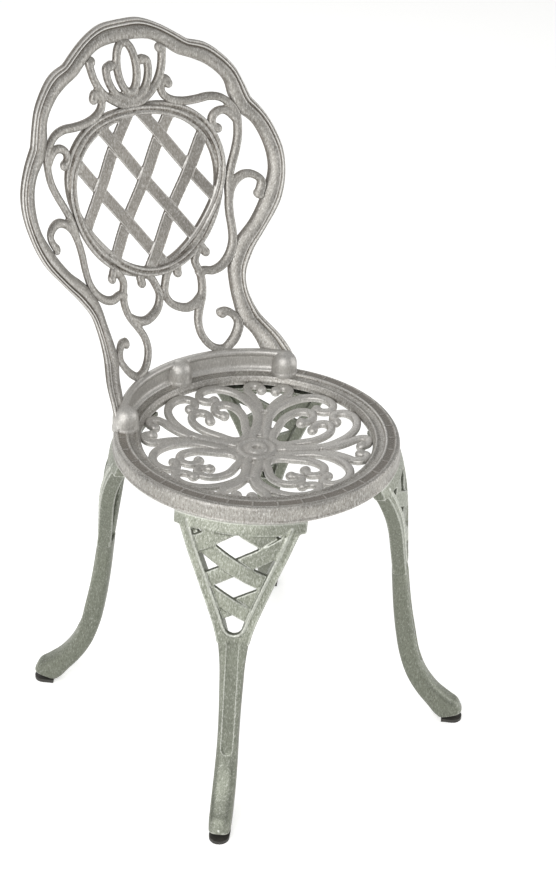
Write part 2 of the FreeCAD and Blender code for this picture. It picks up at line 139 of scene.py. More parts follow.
def cast_paint(name, body, pit_and_shade, rubbed):
    """Painted casting. body is the paint; the next colour is the dark brown of the pits and of the painted
    shade, the last the pale of the dust, the worn ridges and the painted highlights.
    """
    material, tree = blank_material(name)
    place = add(tree, "ShaderNodeTexCoord").outputs["Object"]
    # heavier and lighter clouds of wash
    cloud = add(tree, "ShaderNodeTexNoise", {"Vector": place, "Scale": 1000 / CLOUD_MM, "Detail": 4.0,
                                             "Roughness": 0.6}).outputs[0]
    # brush flecks, about twice as coarse as the real ones so that they show, and drawn out up and down
    drawn_out = add(tree, "ShaderNodeMapping", {"Vector": place, "Scale": (1.0, 1.0, 1 / STREAK)}).outputs[0]
    fleck = add(tree, "ShaderNodeTexNoise", {"Vector": drawn_out, "Scale": 1000 / FLECK_MM, "Detail": 3.0,
                                             "Roughness": 0.7}).outputs[0]
    # Pointiness is over 0.5 on ridges and under it in hollows, and the flecks break up its line
    curving = add(tree, "ShaderNodeNewGeometry").outputs["Pointiness"]
    centred = add(tree, "ShaderNodeMath", {0: fleck, 1: 0.5}, operation="SUBTRACT").outputs[0]
    edge = add(tree, "ShaderNodeMath", {0: centred, 1: BROKEN, 2: curving},
               operation="MULTIPLY_ADD").outputs[0]
    # pale on the ridges: worn paint and a painted highlight
    ridge = add(tree, "ShaderNodeMapRange", {"Value": edge, "From Min": 0.515, "From Max": 0.56,
                                             "To Max": 0.85}).outputs[0]
    # dark in the hollows: painted shade
    hollow = add(tree, "ShaderNodeMapRange", {"Value": edge, "From Min": 0.49, "From Max": 0.45,
                                              "To Max": 0.75}).outputs[0]
    # and the piece's own share adds more wear and painted highlight
    extra_wear_and_highlight = add(tree, "ShaderNodeAttribute", attribute_name="rubbed").outputs["Fac"]
    bare_and_highlit = add(tree, "ShaderNodeMath", {0: ridge, 1: extra_wear_and_highlight}, operation="MAXIMUM").outputs[0]
    # painted shade where castings meet and in narrow gaps, read from how shut in each point is
    shut_in = add(tree, "ShaderNodeAmbientOcclusion", {"Distance": SHADE_REACH_MM * MM}, samples=6)
    crevice_shade = add(tree, "ShaderNodeMapRange", {"Value": shut_in.outputs["AO"], "From Min": 0.55,
                                               "From Max": 0.1, "To Max": 0.7}).outputs[0]
    hollow_and_crevice_shade = add(tree, "ShaderNodeMath", {0: hollow, 1: crevice_shade}, operation="MAXIMUM").outputs[0]
    # and the piece's own share adds painted shade on the sides and darkens some parts, patchily
    unrubbed = add(tree, "ShaderNodeAttribute", attribute_name="unrubbed").outputs["Fac"]
    patchy = add(tree, "ShaderNodeMapRange", {"Value": cloud, "From Min": 0.3, "From Max": 0.7,
                                              "To Min": 0.75, "To Max": 1.0}).outputs[0]
    patchy_shade_and_darkening = add(tree, "ShaderNodeMath", {0: unrubbed, 1: patchy}, operation="MULTIPLY").outputs[0]
    shade_and_darkening_share = add(tree, "ShaderNodeMath", {0: hollow_and_crevice_shade, 1: patchy_shade_and_darkening}, operation="MAXIMUM").outputs[0]
    paint = add(tree, "ShaderNodeValToRGB", {0: cloud})
    for stop, position, tone in zip(paint.color_ramp.elements, (0.36, 0.66), CLOUD_TONES):
        stop.position = position
        stop.color = [min(1.0, c * tone) for c in linear(body)[:3]] + [1.0]
    # pale dust on the high flecks and dark brown pits in the low ones; 6, 7 and output 2 are a mix node's
    # colours
    high = add(tree, "ShaderNodeMapRange", {"Value": fleck, "From Min": 0.53, "From Max": 0.70,
                                            "To Max": 0.65}).outputs[0]
    dusted = add(tree, "ShaderNodeMix", {0: high, 6: paint.outputs[0], 7: linear(rubbed)},
                 data_type="RGBA").outputs[2]
    low = add(tree, "ShaderNodeMapRange", {"Value": fleck, "From Min": 0.47, "From Max": 0.32,
                                           "To Max": 0.6}).outputs[0]
    pitted = add(tree, "ShaderNodeMix", {0: low, 6: dusted, 7: linear(pit_and_shade)}, data_type="RGBA").outputs[2]
    # painted shade and the darker parts, then wear and painted highlights
    shaded_paint = add(tree, "ShaderNodeMix", {0: shade_and_darkening_share, 6: pitted, 7: linear(pit_and_shade)}, data_type="RGBA").outputs[2]
    worn_and_highlit_paint = add(tree, "ShaderNodeMix", {0: bare_and_highlit, 6: shaded_paint, 7: linear(rubbed)}, data_type="RGBA").outputs[2]
    dull = add(tree, "ShaderNodeMapRange", {"Value": cloud, "From Min": 0.3, "From Max": 0.7, "To Min": 0.36,
                                            "To Max": 0.5}).outputs[0]
    # sand grain of the mould over soft dents
    dents = add(tree, "ShaderNodeTexNoise", {"Vector": place, "Scale": 1000 / DENT_MM,
                                             "Detail": 2.0}).outputs[0]
    dented = add(tree, "ShaderNodeBump", {"Height": dents, "Strength": 0.25, "Distance": 1.2 * MM}).outputs[0]
    sand = add(tree, "ShaderNodeBump", {"Height": fleck, "Strength": 0.35, "Distance": 0.3 * MM,
                                        "Normal": dented}).outputs[0]
    shader = add(tree, "ShaderNodeBsdfPrincipled", {"Base Color": worn_and_highlit_paint, "Roughness": dull, "Metallic": 0.6,
                                                    "Normal": sand})
    add(tree, "ShaderNodeOutputMaterial", {"Surface": shader.outputs[0]})
    return material


PEWTER = cast_paint("painted_sand_cast_metal", "#A5A29C", "#5E5449", "#E8E6E2")


def round_seat(r, angle, height):
    """A point at radius r about the seat's axis, height mm above the seat."""
    a = np.radians(angle)
    return (r * np.cos(a) * MM, AXIS_Y + r * np.sin(a) * MM, SEAT_TOP + height * MM)


def fine(points, step):
    """The same closed outline with more points, none further apart than step mm."""
    dense = []
    for a, b in zip(points, points[1:] + points[:1]):
        count = max(1, math.ceil(math.dist(a, b) / step))
        dense += [(a[0] + (b[0] - a[0]) * k / count, a[1] + (b[1] - a[1]) * k / count) for k in range(count)]
    return dense


def grid_mesh(name, rows, closed_rows=False, closed_columns=True, capped=True):
    """A skin over rows of points, in metres. Each row is a closed section unless closed_columns is off."""
    rows = np.asarray(rows, float)
    n, m = rows.shape[:2]
    faces = []
    for i in range(n if closed_rows else n - 1):
        for j in range(m if closed_columns else m - 1):
            a, b = i * m + j, i * m + (j + 1) % m
            c, d = ((i + 1) % n) * m + (j + 1) % m, ((i + 1) % n) * m + j
            faces.append((a, b, c, d))
    if capped and not closed_rows:
        faces += [tuple(range(m))[::-1], tuple(range((n - 1) * m, n * m))]
    mesh = bpy.data.meshes.new(name)
    mesh.from_pydata(rows.reshape(-1, 3).tolist(), [], faces)
    outward(mesh)
    return mesh


def outward(mesh):
    """The same mesh with every face turned outward."""
    work = bmesh.new()
    work.from_mesh(mesh)
    bmesh.ops.recalc_face_normals(work, faces=work.faces)
    work.to_mesh(mesh)
    work.free()
    return mesh


def piece(name, mesh, material, unrubbed=0.0, rubbed=0.0):
    """One object of the chair. The first share is the painted shade and darkening on it and the second the
    wear and painted highlight, each as one value or one for each point."""
    made = bpy.data.objects.new(name, mesh)
    bpy.context.scene.collection.objects.link(made)
    for label, share in (("unrubbed", unrubbed), ("rubbed", rubbed)):
        share = np.broadcast_to(np.asarray(share, np.float32), len(mesh.vertices))
        mesh.attributes.new(label, "FLOAT", "POINT").data.foreach_set("value", np.ascontiguousarray(share))
    mesh.materials.clear()
    mesh.materials.append(material)
    mesh.shade_smooth()
    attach(made, "root")
    return made


rim = fine(RING, RING_STEP)
# the ring's top is darker, most in its panels, and its ribs' tops are paler
rim_rows, rim_darkening, rim_paleness = [], [], []
for cell in range(PANELS):
    for share in SECTIONS:
        along = np.clip((min(share, 1 - share) - RIB_SHARE) / EASE_SHARE, 0, 1)
        row = []
        for r, z in rim:
            across = np.clip(min(r - PANEL_R[0], PANEL_R[1] - r) / PANEL_EDGE, 0, 1) * (z > UPPER_FACE)
            row.append(round_seat(r, (cell + share) * 360 / PANELS, z - PANEL_DEPTH * along * across))
            rim_darkening.append((RIB_DARKENING + (PANEL_DARKENING - RIB_DARKENING) * along) * across)
            rim_paleness.append(RIB_PALENESS * (1 - along) * across)
        rim_rows.append(row)
seat_ring = piece("seat_ring", grid_mesh("ring", rim_rows, closed_rows=True), PEWTER,
                  np.array(rim_darkening), np.array(rim_paleness))
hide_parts("seat_casting")


# Seat web
# Four petals and four fans of flat-topped scrolls, cast with the ring and dished to the middle, where a hub
# with a drain hole stands. The bars have hardly rounded edges and round knobs at their curls.
DISH, RING_DROP, HUB_R, RING_IN_R = 26.5, 9.0, 27.0, 154.0
BAR_W, BAR_T, BAR_EDGE, BAR_KNOB = 11.5, 8.5, 3.2, 7.6
# painted light: the whole web is mixed a share towards the pale colour, so it reads lighter
WEB_PAINTED_LIGHT = 0.3
# mm of the squares that a casting's skin is made of, and how many times its creases are softened
WEB_SKIN = (1.3, 2)
KNOB_FLATTEN = 0.85
# sides of a knob round and up, and steps in a bar's rounded edge
KNOB_ROUND, KNOB_UP, EDGE_STEPS = 20, 12, 5
# a knob this small stays hidden in the bar
NO_KNOB = 0.1
SWEEP_STEP = 2.5
OUTER_PETAL = [(11, 20), (17, 29), (36, 47), (50, 62), (57.5, 78), (60, 95), (58.5, 113), (51.5, 130),
               (39, 142), (23, 146.5), (10, 142), (5.5, 131.5), (12, 123), (21, 121)]
HEART_HALF = [(12, 87), (8, 93), (7.5, 103), (15, 109.5), (26, 108), (34, 99), (36, 85), (33, 71), (27, 60),
              (20.5, 50), (15.5, 41), (8.5, 34), (0, 31.5)]
FAN = [(5, 88), (12, 108), (20, 121), (28, 132), (30, 141), (23, 148), (13, 146), (10, 139)]
WEDGE = [(0, 39), (0, 60), (0, 84)]
WEDGE_W, WEDGE_EDGE, WEDGE_DROP = 9.0, 1.5, 2.5
HUB = [(5.5, -10), (5.5, 1.6), (6.6, 2.8), (9, 3.3), (12.4, 3.0), (13.8, 2.0), (14.6, 0.2), (16.5, -0.4),
       (19.5, -0.2), (21, 1.1), (23, 1.9), (25.6, 1.5), (27, 0.2), (27, -10)]


def smooth_line(points, step=2.0):
    """Points every step mm or so along a smooth curve through the given ones."""
    p = np.array(points, float)
    gap = np.linalg.norm(np.diff(p, axis=0), axis=1)
    slope = np.diff(p, axis=0) / gap[:, None]
    tangent = np.vstack([slope[:1], (slope[:-1] * gap[1:, None] + slope[1:] * gap[:-1, None])
                         / (gap[1:] + gap[:-1])[:, None], slope[-1:]])
    line = [p[:1]]
    for i, length in enumerate(gap):
        t = np.linspace(0, 1, max(2, int(length / step) + 1))[1:, None]
        line.append((2 * t ** 3 - 3 * t ** 2 + 1) * p[i] + (t ** 3 - 2 * t ** 2 + t) * length * tangent[i]
                    + (3 * t ** 2 - 2 * t ** 3) * p[i + 1] + (t ** 3 - t ** 2) * length * tangent[i + 1])
    return np.vstack(line)


def mirrored(strokes):
    """Each stroke with its mirror image on the other side of the middle."""
    return strokes + [[(-x, z) for x, z in s] for s in strokes]


def bar_tree():
    """Sweeps a rounded bar along each curve and sets a flattened ball on its last point, or on both ends."""
    tree = bpy.data.node_groups.new("cast_bar", "GeometryNodeTree")
    face = tree.interface
    face.new_socket("Geometry", in_out="INPUT", socket_type="NodeSocketGeometry")
    for label in ("Width", "Depth", "Edge Radius", "Knob Radius", "Spacing"):
        face.new_socket(label, in_out="INPUT", socket_type="NodeSocketFloat")
    face.new_socket("First Knobs", in_out="INPUT", socket_type="NodeSocketInt")
    face.new_socket("Material", in_out="INPUT", socket_type="NodeSocketMaterial")
    face.new_socket("Geometry", in_out="OUTPUT", socket_type="NodeSocketGeometry")
    given = add(tree, "NodeGroupInput").outputs
    even = add(tree, "GeometryNodeResampleCurve", {"Curve": given["Geometry"], "Length": given["Spacing"]},
               mode="LENGTH")
    flat = add(tree, "GeometryNodeSetCurveNormal", {"Curve": even.outputs[0]}, mode="Z_UP")
    block = add(tree, "GeometryNodeCurvePrimitiveQuadrilateral", {"Width": given["Width"],
                                                                  "Height": given["Depth"]})
    rounded = add(tree, "GeometryNodeFilletCurve", {"Curve": block.outputs[0], "Count": EDGE_STEPS,
                                                    "Radius": given["Edge Radius"], "Limit Radius": True},
                  mode="POLY")
    swept = add(tree, "GeometryNodeCurveToMesh", {"Curve": flat.outputs[0],
                                                  "Profile Curve": rounded.outputs[0], "Fill Caps": True})
    ends = add(tree, "GeometryNodeCurveEndpointSelection", {"Start Size": given["First Knobs"],
                                                            "End Size": 1})
    ball = add(tree, "GeometryNodeMeshUVSphere", {"Segments": KNOB_ROUND, "Rings": KNOB_UP,
                                                  "Radius": given["Knob Radius"]})
    knobs = add(tree, "GeometryNodeInstanceOnPoints", {"Points": flat.outputs[0],
                                                       "Selection": ends.outputs[0],
                                                       "Instance": ball.outputs[0],
                                                       "Scale": (1.0, 1.0, KNOB_FLATTEN)})
    both = add(tree, "GeometryNodeJoinGeometry", {0: [swept.outputs[0], knobs.outputs[0]]})
    real = add(tree, "GeometryNodeRealizeInstances", {"Geometry": both.outputs[0]})
    finish = add(tree, "GeometryNodeSetMaterial", {"Geometry": real.outputs[0],
                                                   "Material": given["Material"]})
    add(tree, "NodeGroupOutput", {0: finish.outputs[0]})
    return tree


BAR_TREE = bar_tree()


def swept_bars(strokes, width, depth, edge, knob, material, closed=False, first_knobs=0):
    """The mesh of flat bars along the strokes. All sizes are mm."""
    curve = bpy.data.curves.new("strokes", "CURVE")
    curve.dimensions = "3D"
    for stroke in strokes:
        line = smooth_line(stroke)
        if closed:
            line = line[:-1]
        spline = curve.splines.new("POLY")
        spline.points.add(len(line) - 1)
        flat = np.column_stack([line * MM, np.zeros(len(line)), np.ones(len(line))])
        spline.points.foreach_set("co", flat.ravel())
        spline.use_cyclic_u = closed
    host = bpy.data.objects.new("strokes", curve)
    bpy.context.scene.collection.objects.link(host)
    sweep = host.modifiers.new("sweep", "NODES")
    sweep.node_group = BAR_TREE
    values = {"Width": width * MM, "Depth": depth * MM, "Edge Radius": edge * MM, "Knob Radius": knob * MM,
              "Spacing": SWEEP_STEP * MM, "First Knobs": first_knobs, "Material": material}
    for item in BAR_TREE.interface.items_tree:
        if item.in_out == "INPUT" and item.name in values:
            sweep[item.identifier] = values[item.name]
    bpy.context.view_layer.update()
    made = bpy.data.meshes.new_from_object(host.evaluated_get(bpy.context.evaluated_depsgraph_get()))
    bpy.data.objects.remove(host)
    return made


def points_of(mesh):
    """The mesh's points as rows, in metres."""
    co = np.empty(len(mesh.vertices) * 3, np.float32)
    mesh.vertices.foreach_get("co", co)
    return co.reshape(-1, 3).astype(float)


def put_points(mesh, co):
    """The same mesh with its points moved to co."""
    mesh.vertices.foreach_set("co", np.asarray(co, np.float32).ravel())
    mesh.update()
    return mesh


def cast_as_one(meshes, voxel, smoothing):
    """Casts meshes that run into one another as one skin of voxel mm squares, and softens its creases."""
    work = bmesh.new()
    for mesh in meshes:
        work.from_mesh(mesh)
    whole = bpy.data.meshes.new("rough_casting")
    work.to_mesh(whole)
    work.free()
    host = bpy.data.objects.new("rough_casting", whole)
    bpy.context.scene.collection.objects.link(host)
    cast = host.modifiers.new("cast", "REMESH")
    cast.mode = "VOXEL"
    cast.voxel_size = voxel * MM
    soften = host.modifiers.new("soften", "SMOOTH")
    soften.factor = 0.5
    soften.iterations = smoothing
    bpy.context.view_layer.update()
    skin = bpy.data.meshes.new_from_object(host.evaluated_get(bpy.context.evaluated_depsgraph_get()))
    bpy.data.objects.remove(host)
    return skin


def turned(strokes, angle):
    """Strokes turned about the seat's axis."""
    c, s = math.cos(math.radians(angle)), math.sin(math.radians(angle))
    return [[(x * c - y * s, x * s + y * c) for x, y in stroke] for stroke in strokes]


def lay_in_dish(mesh, drop):
    """Lowers a flat web mesh to the dished face of the seat."""
    x, y, w = points_of(mesh).T / MM
    r = np.hypot(x, y)
    face = -DISH + (DISH - RING_DROP) / (RING_IN_R - HUB_R) * np.maximum(0.0, r - HUB_R)
    return put_points(mesh, np.column_stack([x * MM, AXIS_Y + y * MM, SEAT_TOP + (face - drop + w) * MM]))


heart_petal = HEART_HALF + [(-x, y) for x, y in HEART_HALF[-2::-1]]
curls, hearts, wedges = [], [], []
for quarter in (0, 90, 180, 270):
    curls += turned(mirrored([OUTER_PETAL]), quarter) + turned(mirrored([FAN]), quarter - 45)
    hearts += turned([heart_petal], quarter)
    wedges += turned([WEDGE], quarter - 45)
flat_web = [(swept_bars(curls, BAR_W, BAR_T, BAR_EDGE, BAR_KNOB, PEWTER), 0.0),
            (swept_bars(hearts, BAR_W, BAR_T, BAR_EDGE, BAR_KNOB, PEWTER, first_knobs=1), 0.0),
            (swept_bars(wedges, WEDGE_W, BAR_T - WEDGE_DROP, WEDGE_EDGE, NO_KNOB, PEWTER), WEDGE_DROP / 2)]
hub_rows = [[round_seat(r, a, -DISH + z) for r, z in HUB] for a in range(0, 360, 6)]
web = [lay_in_dish(m, BAR_T / 2 + lower) for m, lower in flat_web]
web.append(grid_mesh("hub", hub_rows, closed_rows=True))
piece("seat_web", cast_as_one(web, *WEB_SKIN), PEWTER, rubbed=WEB_PAINTED_LIGHT)


# Legs
# Each leg is one cabriole casting. Its flared head has two rails, a woven lattice and a band along the top.
# The stem has a sunk U-shaped panel and sweeps out to a rounded toe. Two screws hold the leg under the seat's
# ring.
LEGS = {"front_left": -135.0, "front_right": -45.0, "rear_left": 135.0, "rear_right": 45.0}
# front and rear of the leg's side view, each as radius and height, and half of its width
STEM = [((190, 426), (183, 424), 90), ((199, 404), (183, 400), 75.5), ((206, 372), (184, 372), 62.5),
        ((209.5, 340), (186, 340), 49.5), ((211.5, 300), (189, 300), 35.5), ((214.5, 262), (192, 262), 22.5),
        ((219.5, 224), (195.5, 224), 17.2), ((226, 184), (200, 184), 15.4), ((234.5, 144), (206, 145), 14.4),
        ((243, 108), (214, 108), 14.2), ((256, 78), (227, 72), 14.8), ((275, 53), (244, 44), 15.2),
        ((293.6, 38), (260, 24), 15.2), ((304.4, 30), (270, 11), 15.0), ((310.2, 18), (276, 5.6), 14.3)]
STEM_TOP = 257.0
# how far the stem's top eases back under the window's sill, and over what height
SILL_EASE, SILL_EASE_RUN = 2.2, 14
# sections of the stem are oblong; 1 would make them oval
SQUARENESS = 0.62
STEM_SIDES = 32
# the toe's rounded end as shares of its last section and mm further out, on top of the glide
TOE_END = ((0.93, 1.6), (0.78, 2.9), (0.5, 3.8))
TOE_WAY = (0.55, 0, -0.83)
TOE_LOWEST = 5.2
OUTLINE = [(78.5, 411), (73, 398), (65, 378), (53.5, 350), (43, 322), (34.5, 298), (27.5, 277), (23.5, 262),
           (21.5, 252)]
# width, depth, rounding and distance of the middle behind the leg's face
RAIL_BAR, RAIL_BEAD, RAIL_RIM = (15.0, 18.0, 3.0, 10.9), (4.0, 8.0, 1.9, 3.3), (3.6, 8.0, 1.7, 4.6)
SILL, BAND = (20.0, 4.5, 1.0, 4.5), (16.4, 14.0, 3.0, 7.6)
# how far the bead's middle is in from the rail's inner edge, and the rim's from the outer edge
BEAD_SHIFT, RIM_SHIFT = 2.0, 2.2
# the bead leaves the rails here and runs round the window's foot
BEAD_BOWL_Z = 281
WINDOW_FOOT = [(10.6, 271), (6.5, 267), (0, 265.4)]
SILL_LINE = [(0, 265.5), (0, 250)]
# height in the window and half its width there
WINDOW_HALF = [(262, 9), (277, 17), (298, 25), (322, 34), (350, 44), (378, 55), (411, 68)]
BAND_Z, BAND_HALF = 415.2, 84
LEG_SLAT = (21.0, 6.5, 1.0, 6.5)
# slats end behind the band at this height, and are worked out over this half width
LEG_SLAT_TOP, LEG_SLAT_HALF = 415, 80.0
LEG_SLAT_Z, LEG_SLAT_PITCH, LEG_SLAT_ANGLE = 362.5, 56.5, 29.3
LEG_SLAT_WAVE = 1.8
LEG_SKIN = (1.25, 2)
# painted shade on the leg's sides and rear, how much darker the stem's panel and whole stem are, and a
# painted highlight on slat edges
LEG_SIDE_SHADE, STEM_PANEL_DARKENING, STEM_DARKENING, ARRIS_HIGHLIGHT = 0.6, 0.5, 0.3, 0.9
# How squarely the skin faces front, from 0 to 1, where the panel starts to sink, where the painted shade
# starts, and on an edge with a painted highlight. After each comes the range over which it changes.
PANEL_FACING, PANEL_RANGE = 0.35, 0.3
SHADE_FACING, SHADE_RANGE = 0.86, 0.5
ARRIS_FACING, ARRIS_RANGE = 0.68, 0.16
# radius and height of the plate under the seat, and how far it reaches each side in degrees
PLATE, PLATE_HALF_TURN = [(158, 417), (190, 417), (190, 423), (158, 423)], 25
# the stem's panel: the centre of its round foot, its ends, its half width and depth, and its slopes
PANEL_FOOT_Z, PANEL_LOWEST, PANEL_TOP_Z = 104.0, 90.0, 256.0
STEM_PANEL_HALF, STEM_PANEL_DEPTH, PANEL_SLOPE, PANEL_TOP_SLOPE = 7.6, 2.2, 1.6, 3
# The seat's painted sand-cast metal in a greener mix, which reads as dull sage grey.
LEG_PEWTER = cast_paint("painted_sand_cast_metal_legs", "#979A8D", "#4F5345", "#E0E2DA")
stem = smooth_line([(*f, *r, w) for f, r, w in STEM], 5.0)
face_r, face_z = stem[::-1, 0], stem[::-1, 1]


def on_leg(side, height, inset):
    """A point of the leg in its own frame, inset mm behind its front face."""
    r = np.interp(height, face_z, face_r) - inset
    return np.stack([np.sqrt(np.maximum(r * r - side * side, 1.0)), side, height], axis=-1) * MM


def lay_on(surface, mesh, inset, wave=None):
    """Bends a flat mesh on to a surface, its middle inset mm behind the face. A wave brings it forward."""
    side, height, w = points_of(mesh).T / MM
    forward = wave(side, height) if wave else 0.0
    return put_points(mesh, surface(side, height, inset - w - forward))


def leg_bars(strokes, bar, wave=None):
    """Bars along the strokes, laid on the leg. bar is width, depth, rounding and inset."""
    width, depth, edge, inset = bar
    return lay_on(on_leg, swept_bars(strokes, width, depth, edge, NO_KNOB, LEG_PEWTER), inset, wave)


def stem_mesh():
    """The stem from under the window to the toe, in rounded oblong sections."""
    rows = []
    for f_r, f_z, r_r, r_z, half in stem[stem[:, 1] < STEM_TOP]:
        f_r -= SILL_EASE * max(0.0, (f_z - STEM_TOP + SILL_EASE_RUN) / SILL_EASE_RUN) ** 2
        front, rear = np.array([f_r, f_z]), np.array([r_r, r_z])
        middle, reach = (front + rear) / 2, (front - rear) / 2
        row = []
        for t in np.linspace(0, 2 * math.pi, STEM_SIDES + 1)[:-1]:
            c, s = math.cos(t), math.sin(t)
            c, s = math.copysign(abs(c) ** SQUARENESS, c), math.copysign(abs(s) ** SQUARENESS, s)
            r, z = middle + reach * c
            row.append((r * MM, half * s * MM, z * MM))
        rows.append(row)
    last = np.array(rows[-1])
    centre = last.mean(axis=0)
    for shrink, further in TOE_END:
        ring = centre + (last - centre) * shrink + np.array(TOE_WAY) * further * MM
        ring[:, 2] = np.maximum(ring[:, 2], TOE_LOWEST * MM)
        rows.append(ring)
    return grid_mesh("stem", rows)


def leg_rails():
    """Both rails, a bead round the window's edge, a rim along the outside and a sill under the window."""
    outer = smooth_line(OUTLINE, 4.0)
    along = np.gradient(outer, axis=0)
    along /= np.linalg.norm(along, axis=1)[:, None]
    inward = np.column_stack([along[:, 1], -along[:, 0]])
    inward *= np.sign(-inward[:, :1])
    rail_w = RAIL_BAR[0]
    middle = outer + inward * rail_w / 2
    inner = outer + inward * (rail_w - BEAD_SHIFT)
    edge = outer + inward * RIM_SHIFT
    bowl = [tuple(p) for p in inner[inner[:, 1] > BEAD_BOWL_Z]] + WINDOW_FOOT
    return [leg_bars(mirrored([[tuple(p) for p in middle]]), RAIL_BAR),
            leg_bars([bowl + [(-x, z) for x, z in bowl[-2::-1]]], RAIL_BEAD),
            leg_bars(mirrored([[tuple(p) for p in edge]]), RAIL_RIM),
            leg_bars([SILL_LINE], SILL)]


def normals_of(mesh):
    """The way the mesh's skin faces at each point."""
    normal = np.empty(len(mesh.vertices) * 3, np.float32)
    mesh.vertices.foreach_get("normal", normal)
    return normal.reshape(-1, 3)


def leg_head():
    """The band under the seat and the woven slats below it."""
    band = leg_bars([[(-BAND_HALF, BAND_Z), (0, BAND_Z), (BAND_HALF, BAND_Z)]], BAND)
    slope = math.tan(math.radians(LEG_SLAT_ANGLE))
    half_pitch = LEG_SLAT_PITCH / 2 / slope
    side = np.arange(-LEG_SLAT_HALF, LEG_SLAT_HALF + 0.5, 0.5)
    slats = []
    for sign in (1, -1):
        runs = []
        for k in (-1, 0, 1):
            height = LEG_SLAT_Z + k * LEG_SLAT_PITCH + sign * slope * side
            inside = (abs(side) < np.interp(height, *np.array(WINDOW_HALF).T)) & (height < LEG_SLAT_TOP)
            run = np.column_stack([side, height])[inside]
            runs.append([tuple(run[0]), tuple(run[len(run) // 2]), tuple(run[-1])])
        slats.append(leg_bars(runs, LEG_SLAT, lambda x, h, sign=sign: -sign * LEG_SLAT_WAVE * np.cos(
            math.pi * x / half_pitch)))
    return [band] + slats


plate_rows = [[(r * math.cos(a) * MM, r * math.sin(a) * MM, z * MM) for r, z in PLATE]
              for a in np.radians(np.arange(-PLATE_HALF_TURN, PLATE_HALF_TURN + 0.1, 1.25))]
pattern = cast_as_one([stem_mesh()] + leg_rails() + leg_head() + [grid_mesh("plate", plate_rows)], *LEG_SKIN)

# the sunk panel on the front of the stem, with its U-shaped foot
co = points_of(pattern) / MM
height = co[:, 2]
facing = np.clip((normals_of(pattern)[:, 0] - PANEL_FACING) / PANEL_RANGE, 0, 1)
reach = np.hypot(co[:, 1], np.clip(PANEL_FOOT_Z - height, 0, None))
sunk = np.clip((STEM_PANEL_HALF - reach) / PANEL_SLOPE, 0, 1)
sunk *= np.clip((PANEL_TOP_Z - height) / PANEL_TOP_SLOPE, 0, 1) * (height > PANEL_LOWEST)
co[:, 0] -= STEM_PANEL_DEPTH * sunk * facing
put_points(pattern, co * MM)

# painted shade on the sides and rear, the sunk panel and the whole stem darker, and a painted highlight on
# the edges of the head's slats
forward = normals_of(pattern)[:, 0]
side_share = np.clip((SHADE_FACING - forward) / SHADE_RANGE, 0, 1)
leg_shade_and_darkening = np.maximum(LEG_SIDE_SHADE * side_share, STEM_PANEL_DARKENING * sunk)
leg_shade_and_darkening = np.maximum(leg_shade_and_darkening, STEM_DARKENING * (height < STEM_TOP))
arris_share = np.clip(1 - abs(forward - ARRIS_FACING) / ARRIS_RANGE, 0, 1)
leg_arris_highlight = ARRIS_HIGHLIGHT * arris_share * (height > STEM_TOP)
for name, angle in LEGS.items():
    mesh = pattern.copy()
    mesh.transform(Matrix.Translation((0, AXIS_Y, 0)) @ Matrix.Rotation(math.radians(angle), 4, "Z"))
    leg = piece("leg_casting_" + name, mesh, LEG_PEWTER, leg_shade_and_darkening, leg_arris_highlight)
    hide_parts("leg_" + name)


# Foot glides
# Dark moulded plastic tips pressed up into the toes. They keep their modelled shape.
# Moulded plastic: nearly black and matt, with a fine grain and paler scuffs from the floor.
SCUFF_MM = 3.3
PLASTIC, tree = blank_material("matt_moulded_plastic")
place = add(tree, "ShaderNodeTexCoord").outputs["Object"]
scuff = add(tree, "ShaderNodeTexNoise", {"Vector": place, "Scale": 1000 / SCUFF_MM, "Detail": 4.0})
tone = add(tree, "ShaderNodeValToRGB", {0: scuff.outputs[0]})
tone.color_ramp.elements[0].color = linear("#262522")
tone.color_ramp.elements[1].color = linear("#4A4843")
grain = add(tree, "ShaderNodeBump", {"Height": scuff.outputs[0], "Strength": 0.3, "Distance": 0.3 * MM})
shader = add(tree, "ShaderNodeBsdfPrincipled", {"Base Color": tone.outputs[0], "Roughness": 0.6,
                                                "Normal": grain.outputs[0]})
add(tree, "ShaderNodeOutputMaterial", {"Surface": shader.outputs[0]})
for name in LEGS:
    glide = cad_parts["foot_glide_" + name]
    glide.data.materials.clear()
    glide.data.materials.append(PLASTIC)


# Leg screws
# Plain hexagon steel screws, two up through each leg's plate into bosses under the seat. They keep their
# modelled shape.
# Zinc-plated steel: dull grey metal with a faint crystal spangle.
SPANGLE_MM = 2.0
ZINC, tree = blank_material("zinc_plated_steel")
place = add(tree, "ShaderNodeTexCoord").outputs["Object"]
spangle = add(tree, "ShaderNodeTexNoise", {"Vector": place, "Scale": 1000 / SPANGLE_MM, "Detail": 2.0})
tone = add(tree, "ShaderNodeValToRGB", {0: spangle.outputs[0]})
tone.color_ramp.elements[0].color = linear("#7F8080")
tone.color_ramp.elements[1].color = linear("#B4B5B3")
dull = add(tree, "ShaderNodeMapRange", {"Value": spangle.outputs[0], "To Min": 0.3, "To Max": 0.5})
shader = add(tree, "ShaderNodeBsdfPrincipled", {"Base Color": tone.outputs[0], "Roughness": dull.outputs[0],
                                                "Metallic": 1.0})
add(tree, "ShaderNodeOutputMaterial", {"Surface": shader.outputs[0]})


def plate_with_zinc(start):
    """Gives every screw whose name begins so its zinc."""
    for name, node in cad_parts.items():
        if name.startswith(start):
            node.data.materials.clear()
            node.data.materials.append(ZINC)


plate_with_zinc("leg_screw")


# Back frame
# The outer bar of the back's casting, about 25 mm wide and 14 mm deep, with two notched shoulders each side.
# From the outer edge in, it has a low flange, a thin bead, a groove and a broad round band. Its feet join the
# rail.
# the radius of the back's drawn face at the seat
FACE_R = 174.0
